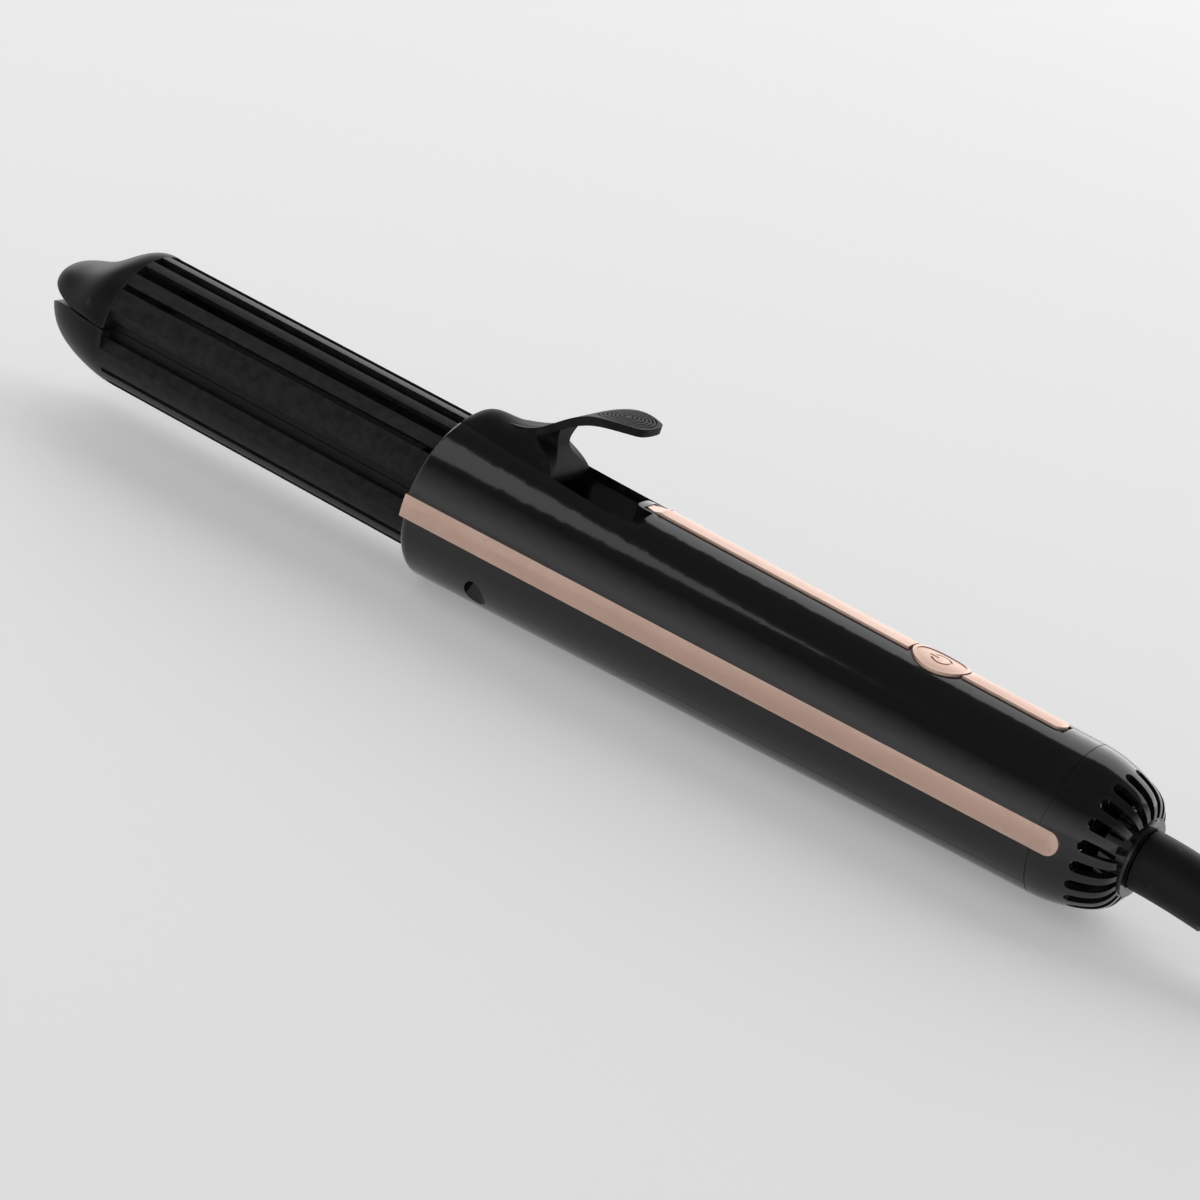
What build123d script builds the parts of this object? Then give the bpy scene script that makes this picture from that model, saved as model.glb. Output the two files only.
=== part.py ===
from build123d import *
from math import acos, asin, atan2, ceil, cos, degrees, pi, radians, sin, sqrt, tan
import os

# Air curling wand, lying on a table. Lengths are in millimetres.
# The wand is built in its own frame: X runs along it, from 0 at the front edge of the collar
# towards the cord, the arms reach to negative X, and Z points up to the lever and the button.
# At the end everything is laid down on the housing's straight underside, with +Z up.

os.makedirs("parts", exist_ok=True)

# Arms
arm_length = 95.9
arm_r = 17.5
arm_lift = 1.1
arm_wall = 1.8
arm_gap_to_collar = 1.1
arm_root = 12.0
lower_arm_root = 18.0
edge_outer_z = 5.2
edge_inner_z = 2.4
edge_inner_y = 15.3
slot_count = 6
slot_pitch = 20.4
slot_width = 3.5
side_slot_width = 1.7
slot_run_in = 2.0
nose_length = 25.0
tongue_length = 25.4
nose_gap = 0.25
nose_scoop_drop = 7.0

# Housing
housing_length = 170.5
collar_wall = 2.3
collar_r = arm_r + arm_gap_to_collar + collar_wall
seam_r = 18.2
seam_lift = 1.5
housing_wall = 2.0
collar_depth = 10.0
collar_round = 0.9
underside_round = 2.4
rest_flat = 0.4

# Lower cover of the housing
cover_front_x = 56.0
cover_drop = 12.8
cover_bar_width = 6.0
cover_bar_thickness = 2.0
cover_screw_x = (67.0, 113.0)
cover_gap = 0.1
seam_line_half = 0.12
seam_line_depth = 0.2

# Tail cap
cap_length = 17.9
cap_wall = 1.8
cap_shoulder_x = 9.5
cap_shoulder_r = 16.5
cap_corner_x = 15.3
cap_corner_r = 13.9
inlet_count = 20
inlet_start = 10.4
inlet_share = 0.56
hub_r = 9.3
hub_wall = 1.2
hub_height = 0.7
hub_depth = 6.2
hub_lip = 0.5

# Heated plates and heaters
plate_half_width = 13.6
plate_gap = 0.2
plate_ridge_half_width = 12.6
plate_ridge = 0.7
plate_front = 11.0
heater_length = 78.0
heater_half_width = 9.0
heater_thickness = 3.0
fuse_r = 2.0
fuse_length = 12.0

# Clamp pivot
pivot_x = 5.0
pivot_drop = 5.6
pivot_z = arm_lift + arm_r - pivot_drop
pin_r = 1.5
pin_running_gap = 0.05
pin_end_cover = 0.6
spring_wire = 0.9
spring_length = 5.2

# Lever
cutout_front_half = 7.5
cutout_rear_half = 9.7
cutout_widest_x = 38.0
cutout_end_x = 53.0
cutout_corner_r = 4.0
lever_side_gap = 0.3
saddle_rise = 5.4
saddle_top = arm_lift + arm_r + saddle_rise
flare_end_x = 27.7
saddle_skirt_drop = 2.2
saddle_skirt_z = arm_lift + arm_r - saddle_skirt_drop
saddle_wall = 1.8
strap_half_width = 5.2
paddle_half_width = 8.2
paddle_end_x = 45.0
rib_middle_x = 37.5
rib_pitch = 0.92
rib_groove = 0.4
rib_depth = 0.3
rib_count = 7
pocket_floor_z = 11.0
pocket_wall = 1.2
pocket_front_x = 16.0
pocket_slope = 3.0
pocket_slope_x = 30.0

# Trims
side_trim_half = 2.8
side_trim_over = 5.9
side_trim_end = housing_length + side_trim_over
trim_proud = 0.35
trim_depth = 0.8
top_trim_half = 2.5
top_trim_proud = 0.6
top_trim_gap = 0.25
top_trim_tip_x = 48.9
top_trim_bend_x = 54.2
top_trim_tip_drop = 0.5
trim_island_wall = 0.5
top_trim_end = housing_length - 8.0

# Power button and its switch
button_set_back = 40.8
button_x = housing_length - button_set_back
button_half_length = 7.0
button_half_width = 6.0
button_gap = 0.15
button_proud = 0.7
button_travel = 0.5
button_rim = 0.9
button_dish = 0.2
icon_r = 2.3
icon_line = 0.55
icon_depth = 0.25
button_ear = 1.6
button_ear_half = 2.5
button_ear_thickness = 0.8
board_lead = 25.7
board_front_x = button_x - board_lead
board_length = 42.0
board_half_width = 11.0
board_thickness = 1.6
board_z = 11.8
ledge_width = 1.4
ledge_thickness = 1.2
switch_size = 6.0
switch_height = 2.4
plunger_r = 1.6
plunger_gap = 0.08

# Fan, motor and duct
shroud_set_back = 24.5
shroud_front_x = housing_length - shroud_set_back
shroud_length = 18.0
shroud_bore_r = 15.0
fan_r = 14.2
fan_hub_r = 5.0
fan_front_gap = 4.5
fan_length = 9.0
fan_blades = 9
blade_thickness = 1.2
blade_angle = 38.0
motor_r = 10.0
motor_length = 26.0
motor_overlap = 3.0
shaft_r = 1.0
shaft_gap = 0.05
strut_width = 2.4
duct_r = 9.2
duct_wall = 1.2
duct_front_x = 27.0
duct_motor_gap = 23.0
duct_rear_x = shroud_front_x + motor_overlap - motor_length - duct_motor_gap
duct_drop = 0.9
flange_thickness = 2.0
filter_thickness = 1.0
filter_hole_r = 0.9
filter_offset = 3.0

# Screws
screw_head_r = 2.6
screw_head_height = 1.6
screw_r = 1.3
screw_bore_gap = 0.3
housing_screw_x = 22.1
housing_screw_inset = 5.9
housing_screw_y = collar_r - housing_screw_inset
housing_screw_seat_z = -7.0
housing_boss_top = 8.0
screw_boss_wall = 0.9
lever_screw_x = 9.6
lever_screw_y = 3.4
lever_screw_head_r = 2.0
lever_screw_reach = 3.0

# Cord, its boot and swivel
cord_d = 5.6
cord_length = 1800.0
swivel_gap = 0.07
swivel_neck_r = 4.9
boot_r = 7.2
boot_end_r = 4.2
boot_length = 42.0
boot_bend = 18.0
boot_offset = 0.5
boot_smooth = 17.0
boot_notches = 5
boot_notch_width = 1.6
retainer_thickness = 1.6
hank_fold_r = 16.8
hank_step = 6.6
hank_layer_gap = 0.5
hank_draw_in = 7.0
tie_width = 12.0
tie_thickness = 0.8
tie_gap = 0.1
floor_gap = 0.02
tail_length = 66.0
plug_width = 35.0
plug_thickness = 13.6
plug_body_length = 28.0
plug_neck_length = 18.0
plug_neck_r = 5.0
plug_round = 2.2
prong_r = 2.0
prong_length = 19.0
prong_spacing = 18.6
prong_socket = 6.0


def housing_z(x):
    return seam_lift * x / housing_length


def housing_r(x):
    return collar_r + (seam_r - collar_r) * x / housing_length


def surface_z(x, y=0.0, inset=0.0):
    return housing_z(x) + sqrt((housing_r(x) - inset) ** 2 - y ** 2)


def disc(x, z, r):
    return Plane(origin=(x, 0, z), x_dir=(0, 1, 0), z_dir=(1, 0, 0)) * Circle(r)


def rod_x(x0, x1, r, z=0.0, y=0.0):
    return Pos(0, y, 0) * extrude(disc(x0, z, r), x1 - x0)


def rod_y(x, z, r, y0, y1):
    return Pos(x, (y0 + y1) / 2, z) * Rot(90, 0, 0) * Cylinder(r, y1 - y0)


def rod_z(x, y, r, z0, z1):
    return Pos(x, y, (z0 + z1) / 2) * Cylinder(r, z1 - z0)


def slab(x0, x1, y0, y1, z0, z1):
    return Pos((x0 + x1) / 2, (y0 + y1) / 2, (z0 + z1) / 2) * Box(x1 - x0, y1 - y0, z1 - z0)


def face_on(plane, edges):
    return make_face([plane * edge for edge in edges])


def side_shape(points, y0=-40.0, y1=40.0):
    # a closed outline of (x, z) points, extruded across the wand from y0 to y1
    face = make_face(Plane.XZ * Polyline(*points, close=True))
    return Pos(0, y1, 0) * extrude(face, y1 - y0, dir=(0, -1, 0))


def housing_solid(inset, x0, x1):
    ends = [disc(x, housing_z(x), housing_r(x) - inset) for x in (x0, x1)]
    return loft(ends, ruled=True)


def above_split(x0=-60.0, x1=260.0):
    return side_shape([(x0, housing_z(x0)), (x1, housing_z(x1)), (x1, 80), (x0, 80)])


def below_split(x0=-60.0, x1=260.0):
    return side_shape([(x0, housing_z(x0)), (x1, housing_z(x1)), (x1, -80), (x0, -80)])


def rest_z(x):
    # height of the flat that the wand lies on, a little above the housing's lowest line
    return housing_z(x) - housing_r(x) + rest_flat


def under_floor(x0=-60.0, x1=260.0):
    return side_shape([(x0, rest_z(x0)), (x1, rest_z(x1)), (x1, -80), (x0, -80)])


def cutout_face(grow):
    # the long opening in the housing's top that holds the lever's saddle and the thumb pocket
    front, rear = cutout_front_half + grow, cutout_rear_half + grow
    end, corner = cutout_end_x + grow, cutout_corner_r + grow
    outline = [
        Line((-30, -front), (0, -front)),
        Line((0, -front), (cutout_widest_x, -rear)),
        Line((cutout_widest_x, -rear), (end - corner, -rear)),
        JernArc((end - corner, -rear), (1, 0), corner, 90),
        Line((end, corner - rear), (end, rear - corner)),
        JernArc((end, rear - corner), (0, 1), corner, 90),
        Line((end - corner, rear), (cutout_widest_x, rear)),
        Line((cutout_widest_x, rear), (0, front)),
        Line((0, front), (-30, front)),
        Line((-30, front), (-30, -front)),
    ]
    return make_face(outline)


def cutout(grow, z0, z1):
    return Pos(0, 0, z0) * extrude(cutout_face(grow), z1 - z0)


def cutout_half(x):
    return cutout_front_half + (cutout_rear_half - cutout_front_half) * min(x / cutout_widest_x, 1.0)


def oval(half_x, half_y, z0, z1):
    return Pos(button_x, 0, z0) * extrude(Ellipse(half_x, half_y), z1 - z0)


def side_trim_shape(grow, proud, depth):
    half = side_trim_half + grow
    end = side_trim_end - side_trim_half
    outline = [
        Line((-1, -half), (end, housing_z(end) - half)),
        ThreePointArc((end, housing_z(end) - half), (end + half, housing_z(end)),
                      (end, housing_z(end) + half)),
        Line((end, housing_z(end) + half), (-1, half)),
        Line((-1, half), (-1, -half)),
    ]
    window = extrude(face_on(Plane.XZ, outline), 40)
    ring = housing_solid(-proud, 0, side_trim_end + 2) - housing_solid(depth, -1, side_trim_end + 3)
    return window & ring


def top_trim_shape(x0, x1, grow, proud, depth):
    half = top_trim_half + grow
    ring = housing_solid(-proud, x0 - 2, x1 + 2) - housing_solid(depth, x0 - 3, x1 + 3)
    return ring & slab(x0, x1, -half, half, 10, 40)


def trim_island():
    # what is left standing at the rear of the cut-out, around the top trim's tip
    half = top_trim_half + top_trim_gap + trim_island_wall
    front = top_trim_tip_x - top_trim_gap - trim_island_wall
    island = slab(front, cutout_end_x + 1, -half, half, 0, 40)
    return fillet(island.edges().filter_by(Axis.Z).group_by(Axis.X)[0], 1.5)


# Housing shells
collar_bore_r = arm_r + arm_gap_to_collar
seat_end = lower_arm_root
side_trim_cut = side_trim_shape(0, 5, trim_depth)
side_trim_cuts = side_trim_cut + mirror(side_trim_cut, Plane.XZ)
seam_x = housing_length
outer = housing_solid(0, 0, seam_x)
hollow = (
    rod_x(-1, collar_depth, collar_bore_r, arm_lift)
    + rod_x(collar_depth - 1, seat_end + 1, arm_r, arm_lift)
    + housing_solid(housing_wall, seat_end, seam_x + 1)
)
shell = outer - hollow
seam_line = housing_solid(-1, seam_x - seam_line_half, seam_x + seam_line_half)
seam_line -= housing_solid(seam_line_depth, seam_x - 1, seam_x + 1)


def upper_housing_piece():
    body = outer & above_split()
    body = fillet(body.edges().filter_by(GeomType.CIRCLE).sort_by(Axis.X)[0], collar_round)
    body = body - hollow
    body -= rod_x(collar_depth - 1, seat_end + 1, collar_bore_r, arm_lift)
    body -= cutout(0, 5, 40) - trim_island()
    body -= top_trim_shape(cutout_end_x - 3, top_trim_end + top_trim_gap, top_trim_gap, 5, trim_depth)
    body -= top_trim_tip(top_trim_gap)
    body -= oval(button_half_length + button_gap, button_half_width + button_gap, 10, 40)
    body -= side_trim_cuts
    inside = housing_solid(housing_wall - 0.5, board_front_x, board_front_x + board_length)
    for side in (-1, 1):
        ledge = slab(board_front_x, board_front_x + board_length,
                     min(side * (board_half_width - ledge_width), side * 30),
                     max(side * (board_half_width - ledge_width), side * 30),
                     board_z - ledge_thickness, board_z)
        body += ledge & inside
        boss_r = screw_r + 1.6
        boss = rod_z(housing_screw_x, side * housing_screw_y, boss_r, housing_z(housing_screw_x),
                     housing_boss_top)
        body += boss & housing_solid(0.5, 10, 40) & above_split()
        body -= rod_z(housing_screw_x, side * housing_screw_y, screw_r, -2, housing_boss_top - 1)
        body -= rod_y(pivot_x, pivot_z, pin_r, *sorted((side * 5, side * pin_half)))
    return body - seam_line


def lower_housing_piece():
    body = outer & below_split()
    body = fillet(body.edges().filter_by(GeomType.CIRCLE).sort_by(Axis.X)[0], underside_round)
    body = body - hollow
    for side in (-1, 1):
        boss = rod_z(housing_screw_x, side * housing_screw_y,
                     screw_head_r + screw_bore_gap + screw_boss_wall, -30, housing_z(housing_screw_x))
        behind_seat = slab(seat_end, cover_front_x, -30, 30, -30, 5)
        body += boss & housing_solid(0.5, 10, 40) & below_split() & behind_seat
        body -= rod_z(housing_screw_x, side * housing_screw_y, screw_head_r + screw_bore_gap,
                      -40, housing_screw_seat_z)
        body -= rod_z(housing_screw_x, side * housing_screw_y, screw_r, -20, 5)
    body -= side_trim_cuts
    body -= cover_window()
    bar_inside = housing_solid(housing_wall - 0.5, 30, 150)
    for x in cover_screw_x:
        under = -cover_drop + housing_z(x)
        half = cover_bar_width / 2
        bar = slab(x - half, x + half, -30, 30, under, under + cover_bar_thickness)
        body += bar & bar_inside
        body -= rod_z(x, 0, screw_r, -20, 0)
    return body - under_floor() - seam_line


def cover_window(gap=0.0):
    # everything under the parting plane, from the rounded front end of the cover to the tail seam
    z0 = -cover_drop - gap
    half = sqrt((housing_r(cover_front_x) ** 2) - cover_drop ** 2) - gap
    arc_x = cover_front_x + gap + half
    outline = [
        Line((seam_x + 5, -30), (arc_x, -30)),
        Line((arc_x, -30), (arc_x, -half)),
        ThreePointArc((arc_x, -half), (arc_x - half, 0), (arc_x, half)),
        Line((arc_x, half), (arc_x, 30)),
        Line((arc_x, 30), (seam_x + 5, 30)),
        Line((seam_x + 5, 30), (seam_x + 5, -30)),
    ]
    column = Pos(0, 0, -60) * extrude(make_face(outline), 70)
    slope = seam_lift / housing_length
    below = side_shape([(0, z0), (260, z0 + slope * 260), (260, -80), (0, -80)])
    return column & below


def lower_cover_piece():
    ring = housing_solid(0, 0, seam_x) - housing_solid(housing_wall, -1, seam_x + 1)
    body = ring & cover_window(cover_gap)
    for x in cover_screw_x:
        top = -cover_drop + housing_z(x)
        boss_r = screw_head_r + screw_bore_gap + screw_boss_wall
        boss = rod_z(x, 0, boss_r, -40, top - cover_gap) & housing_solid(0.5, x - 10, x + 10)
        body += boss
        body -= rod_z(x, 0, screw_head_r + screw_bore_gap, -40, top - 3)
        body -= rod_z(x, 0, screw_r, -40, 0)
    return body - under_floor() - seam_line


# Tail cap, a body of revolution about an axis seam_lift above the housing's
def cap_profile(inset):
    end_x = seam_x + cap_length - inset
    points = [
        (seam_x - (0 if inset == 0 else 1), seam_r - inset),
        (seam_x + cap_shoulder_x, cap_shoulder_r - inset),
        (seam_x + cap_corner_x - 0.6 * inset, cap_corner_r - inset),
        (end_x, hub_r - 0.4 - 0.5 * inset),
    ]
    curve = Spline(*points, tangents=[(1, -0.015), (0.14, -1)])
    edges = [
        curve,
        Line(points[-1], (end_x, 0)),
        Line((end_x, 0), (points[0][0], 0)),
        Line((points[0][0], 0), points[0]),
    ]
    return Pos(0, 0, seam_lift) * revolve(face_on(Plane.XZ, edges), Axis.X)


def inlet_cutter():
    # one inlet: a sector that narrows towards the hub, with a round outer end
    half_angle = radians(180 / inlet_count * inlet_share)
    x0 = seam_x + inlet_start
    r0, r1 = hub_r + 0.3, seam_r + 4
    outline = [
        (r0 * cos(half_angle), -r0 * sin(half_angle)),
        (r1 * cos(half_angle), -r1 * sin(half_angle)),
        (r1 * cos(half_angle), r1 * sin(half_angle)),
        (r0 * cos(half_angle), r0 * sin(half_angle)),
    ]
    across = Plane(origin=(x0, 0, 0), x_dir=(0, 1, 0), z_dir=(1, 0, 0))
    sector = extrude(make_face(across * Polyline(*outline, close=True)), 20)
    round_r = cap_shoulder_r * sin(half_angle)
    round_end = Pos(x0, (r0 + r1) / 2, 0) * Rot(90, 0, 0) * Cylinder(round_r, r1 - r0)
    return Pos(0, 0, seam_lift) * (sector + round_end)


hub_front_x = seam_x + cap_length
hub_end_x = hub_front_x + hub_height
hub_back_x = hub_front_x - hub_depth
hub_bore_r = hub_r - hub_wall


def tail_cap_piece():
    body = cap_profile(0) - cap_profile(cap_wall)
    cutter = inlet_cutter()
    axis = Axis((0, 0, seam_lift), (1, 0, 0))
    for i in range(inlet_count):
        body -= cutter.rotate(axis, (i + 0.5) * 360 / inlet_count)
    body += rod_x(hub_back_x, hub_end_x, hub_r, seam_lift)
    body -= rod_x(hub_back_x - 1, hub_end_x - hub_lip, hub_bore_r, seam_lift)
    body -= rod_x(hub_back_x, hub_end_x + 1, hub_bore_r - hub_lip, seam_lift)
    body -= side_trim_cuts
    return body - under_floor() - seam_line


# Arms
def arm_outline(r, z_inner, reach):
    # half of the barrel above its middle plane, with the slanting edges beside the hair gap
    slope = (edge_outer_z - edge_inner_z) / (sqrt(arm_r ** 2 - edge_outer_z ** 2) - edge_inner_y)
    far = 30.0
    window = [
        (-edge_inner_y + reach, z_inner), (edge_inner_y - reach, z_inner),
        (edge_inner_y - reach + far, z_inner + slope * far), (edge_inner_y - reach + far, 60),
        (-edge_inner_y + reach - far, 60), (-edge_inner_y + reach - far, z_inner + slope * far),
    ]
    plane = Plane(origin=(0, 0, 0), x_dir=(0, 1, 0), z_dir=(1, 0, 0))
    face = make_face(plane * Polyline(*window, close=True))
    return extrude(face, 1) & rod_x(0, 1, r)


def arm_prism(x0, x1, r, z_inner, reach):
    section = arm_outline(r, z_inner, reach).faces().sort_by(Axis.X)[0]
    return Pos(x0, 0, arm_lift) * extrude(section, x1 - x0, dir=(1, 0, 0))


def arm_shell(root):
    body = arm_prism(-arm_length, root, arm_r, edge_inner_z, 0)
    body -= arm_prism(-arm_length - 1, root + 1, arm_r - arm_wall, edge_inner_z + 1.5, arm_wall)
    body -= slab(-arm_length - 1, root + 1, -plate_ridge_half_width, plate_ridge_half_width,
                 arm_lift, arm_lift + edge_inner_z + 3)
    for k in range(slot_count):
        width = side_slot_width if k in (0, slot_count - 1) else slot_width
        turn_to_slot = (k - (slot_count - 1) / 2) * slot_pitch
        cut = slab(-arm_length, slot_run_in, -width / 2, width / 2, arm_r - 5, arm_r + 5)
        body -= Pos(0, 0, arm_lift) * Rot(turn_to_slot, 0, 0) * cut
    return body


def lower(shape):
    # the same piece on the other side of the middle plane
    return mirror(shape, Plane(origin=(0, 0, arm_lift), x_dir=(1, 0, 0), z_dir=(0, 0, 1)))


def upper_arm_shell_piece():
    body = arm_shell(arm_root)
    body -= rod_y(pivot_x, pivot_z, pin_r + pin_running_gap, -30, 30)
    for y in (-lever_screw_y, lever_screw_y):
        body -= rod_z(lever_screw_x, y, screw_r, 0, 30)
    return body


def lower_arm_shell_piece():
    return lower(arm_shell(lower_arm_root))


def lower_nose_piece():
    # rounded like an egg, with its top hollowed towards the tip
    tip_x = -arm_length - nose_length
    shares = [(0.30, 0.95), (0.57, 0.84), (0.80, 0.66), (0.945, 0.43)]
    points = [(-arm_length - a * nose_length, b * arm_r) for a, b in shares]
    points = [(-arm_length, arm_r)] + points + [(tip_x, 0)]
    face = face_on(Plane.XZ, [
        Spline(*points, tangents=[(-1, 0), (0, -1)]),
        Line((tip_x, 0), (-arm_length, 0)),
        Line((-arm_length, 0), (-arm_length, arm_r)),
    ])
    scoop_x = -arm_length - plate_front - 1
    top = arm_lift - nose_gap
    scoop = Spline((scoop_x, top), (0.4 * scoop_x + 0.6 * tip_x, top - 0.2 * nose_scoop_drop),
                   (tip_x - 0.5, top - nose_scoop_drop), tangents=[(-1, 0), (-0.5, -1)])
    under = face_on(Plane.XZ, [
        Line((0, top), (scoop_x, top)),
        scoop,
        Line(scoop @ 1, (tip_x - 0.5, -60)),
        Line((tip_x - 0.5, -60), (0, -60)),
        Line((0, -60), (0, top)),
    ])
    body = Pos(0, 0, arm_lift) * revolve(face, Axis.X)
    return (body & extrude(under, 40, both=True)) - lower(plate_piece())


def half_ellipse(x, half_y, height, base):
    plane = Plane(origin=(x, 0, arm_lift), x_dir=(0, 1, 0), z_dir=(1, 0, 0))
    arc = EllipticalCenterArc((0, base), half_y, height - base, 0, arc_size=180)
    return face_on(plane, [arc, Line((-half_y, base), (half_y, base))])


def upper_nose_piece():
    # a finger tab: the full arm falls in a hollow curve to a narrow, low tongue
    tip = tongue_length
    stations = [
        (0.0, 1.0, 1.0, 0.0),
        (0.20, 0.977, 0.936, 0.0),
        (0.42, 0.895, 0.703, 0.0),
        (0.62, 0.775, 0.536, 0.0),
        (0.80, 0.635, 0.44, 0.9),
        (0.93, 0.44, 0.35, 1.7),
        (1.0, 0.17, 0.20, 2.2),
    ]
    faces = [
        half_ellipse(-arm_length - share * tip, wide * arm_r, high * arm_r, nose_gap + rise)
        for share, wide, high, rise in stations
    ]
    return loft(faces) - plate_piece()


def plate_piece():
    body = slab(-arm_length - plate_front, 0, -plate_half_width, plate_half_width,
                arm_lift + plate_gap / 2, arm_lift + edge_inner_z)
    ridge = slab(-arm_length, 0, -plate_ridge_half_width, plate_ridge_half_width,
                 arm_lift + edge_inner_z, arm_lift + edge_inner_z + plate_ridge)
    return body + ridge


def heater_piece():
    z0 = arm_lift + edge_inner_z + plate_ridge
    x0 = -arm_length + 8
    return slab(x0, x0 + heater_length, -heater_half_width, heater_half_width, z0, z0 + heater_thickness)


def fuse_piece():
    z0 = arm_lift - edge_inner_z - plate_ridge - heater_thickness - fuse_r
    x0 = -arm_length + 8 + heater_length - fuse_length
    return rod_x(x0, x0 + fuse_length, fuse_r, z0)


# Clamp pivot
pin_half = sqrt(housing_r(pivot_x + pin_r) ** 2 - (pivot_z + pin_r) ** 2) - pin_end_cover


def spring_piece():
    r = pin_r + 0.3 + spring_wire / 2
    sleeve = rod_y(pivot_x, pivot_z, r + spring_wire / 2, -spring_length / 2, spring_length / 2)
    return sleeve - rod_y(pivot_x, pivot_z, pin_r, -20, 20)


# Lever: a saddle that fills the front of the cut-out, a rising strap on a flared foot, and a thumb
# paddle with oval ribs
def lever_half(x):
    return cutout_half(x) - lever_side_gap


def saddle_section(x, top, bell):
    # a plain arch where bell is 0; a narrow back between hollow flanks where it is 1
    half = lever_half(x)
    side = surface_z(x, half) - 0.3
    outline = []
    for u, narrow in ((0, 1), (0.35, 0.985), (0.62, 0.78), (0.8, 0.3), (1, 0)):
        arch = 1 - u * u
        outline.append((u * half, side + (top - side) * (arch + (narrow - arch) * bell)))
    back = Spline(*[(-y, z) for y, z in outline[:0:-1]], *outline)
    edges = [
        back,
        Line(back @ 1, (half, saddle_skirt_z)),
        Line((half, saddle_skirt_z), (-half, saddle_skirt_z)),
        Line((-half, saddle_skirt_z), back @ 0),
    ]
    return face_on(Plane(origin=(x, 0, 0), x_dir=(0, 1, 0), z_dir=(1, 0, 0)), edges)


def foot_section(z, flank, flank_x, rear, rear_x):
    # seen from above: straight flanks, then a rear face that narrows
    points = [(15, -flank), (flank_x, -flank), (rear_x, -rear)]
    points += [(x, -y) for x, y in reversed(points)]
    return Plane(origin=(0, 0, z)) * make_face(Polyline(*points, close=True))


def strap_lines():
    # the strap's top and underside, seen from the side
    end = paddle_end_x + 0.1
    top = [(9.0, -0.8), (15.5, 0.8), (19.6, 2.9), (23.5, 6.0), (30.0, 10.6), (36.3, 12.9),
           (41.0, 13.4), (end, 13.5)]
    under = [(9.0, -3.4), (16.5, -1.0), (20.5, 1.2), (24.5, 4.4), (30.8, 8.6), (36.6, 10.9),
             (41.1, 11.45), (end, 11.6)]
    return (Spline(*[(x, saddle_top + rise) for x, rise in top], tangents=[(1, 0.2), (1, 0.02)]),
            Spline(*[(x, saddle_top + rise) for x, rise in under], tangents=[(1, 0.3), (1, 0.03)]))


def clamp_lever_piece():
    stations = [(0.2, -3.0, 0), (2.4, -1.1, 0), (6.0, -0.2, 0.1), (10.5, 0, 0.45),
                (16.0, 1.2, 1), (20.0, 3.0, 1), (24.0, 5.6, 1), (28.2, 7.0, 1)]
    saddle = loft([saddle_section(x, saddle_top + rise, bell) for x, rise, bell in stations])
    foot = loft([
        foot_section(saddle_skirt_z - 1, 9.8, flare_end_x, 7.6, flare_end_x + 0.1),
        foot_section(saddle_top - 5.0, 9.4, flare_end_x - 0.3, 7.3, flare_end_x - 0.1),
        foot_section(saddle_top - 2.2, 7.8, 23.6, 3.8, 25.3),
        foot_section(saddle_top + 0.4, 6.4, 18.4, 2.6, 23.8),
        foot_section(saddle_top + 9.0, 6.0, 17.0, 2.4, 25.0),
    ])
    front = slab(-1, 16, -12, 12, 0, saddle_top + 5)
    body = (saddle & (front + foot)) + strap_piece()
    # it is seated on the arm's back in front, and hollow over the pocket
    body -= rod_x(-5, arm_root + 0.01, arm_r, arm_lift)
    inner = lever_half(0) - saddle_wall
    body -= slab(arm_root, 16 - saddle_wall, -inner, inner, 0, saddle_top - 4.2)
    for y in (-lever_screw_y, lever_screw_y):
        body -= rod_z(lever_screw_x, y, screw_r, 10, arm_lift + arm_r + lever_screw_reach - 1.0)
    return body


def strap_band(top, under):
    face = make_face([top, Line(top @ 1, under @ 1), under, Line(under @ 0, top @ 0)])
    return extrude(Plane.XZ * face, 20, both=True)


def strap_piece():
    top, under = strap_lines()
    neck, wide = strap_half_width, paddle_half_width
    side = [(8.0, 2.4), (14.0, 4.4), (22.0, neck), (30.0, neck + 1.7), (36.5, wide),
            (paddle_end_x - 2.4, wide * 0.72), (paddle_end_x, 0)]
    left = Spline(*side, tangents=[(1, 0.4), (0, -1)])
    right = Spline(*[(x, -y) for x, y in side], tangents=[(1, -0.4), (0, 1)])
    plan = make_face([left, right, Line((8.0, -2.4), (8.0, 2.4))])
    strap = strap_band(top, under) & (Pos(0, 0, 10) * extrude(plan, 50))
    # oval ribs on the paddle, left standing between shallow grooves
    skin = strap_band(Pos(0, 2) * top, Pos(0, -rib_depth) * top)
    for k in range(rib_count):
        half_x, half_y = 1.1 + k * rib_pitch, 1.3 + k * rib_pitch
        ring = Ellipse(half_x + rib_groove / 2, half_y + rib_groove / 2)
        ring -= Ellipse(half_x - rib_groove / 2, half_y - rib_groove / 2)
        strap -= (Pos(rib_middle_x, 0, 30) * extrude(ring, 15)) & skin
    return strap


def lever_screw(y):
    # from inside the arm, up through its shell into the saddle
    top = arm_lift + arm_r + lever_screw_reach - 1.2
    under = arm_lift + sqrt((arm_r - arm_wall) ** 2 - (lever_screw_y + lever_screw_head_r) ** 2) - 0.1
    shank = rod_z(lever_screw_x, y, screw_r, under, top)
    return shank + rod_z(lever_screw_x, y, lever_screw_head_r, under - screw_head_height, under)


def housing_screw(y):
    shank = rod_z(housing_screw_x, y, screw_r, housing_screw_seat_z, housing_boss_top - 1)
    return shank + rod_z(housing_screw_x, y, screw_head_r, housing_screw_seat_z - screw_head_height,
                         housing_screw_seat_z)


def cover_screw(x):
    top = housing_z(x) - cover_drop
    seat = top - 3
    shank = rod_z(x, 0, screw_r, seat, top + cover_bar_thickness)
    return shank + rod_z(x, 0, screw_head_r, seat - screw_head_height, seat)


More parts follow.
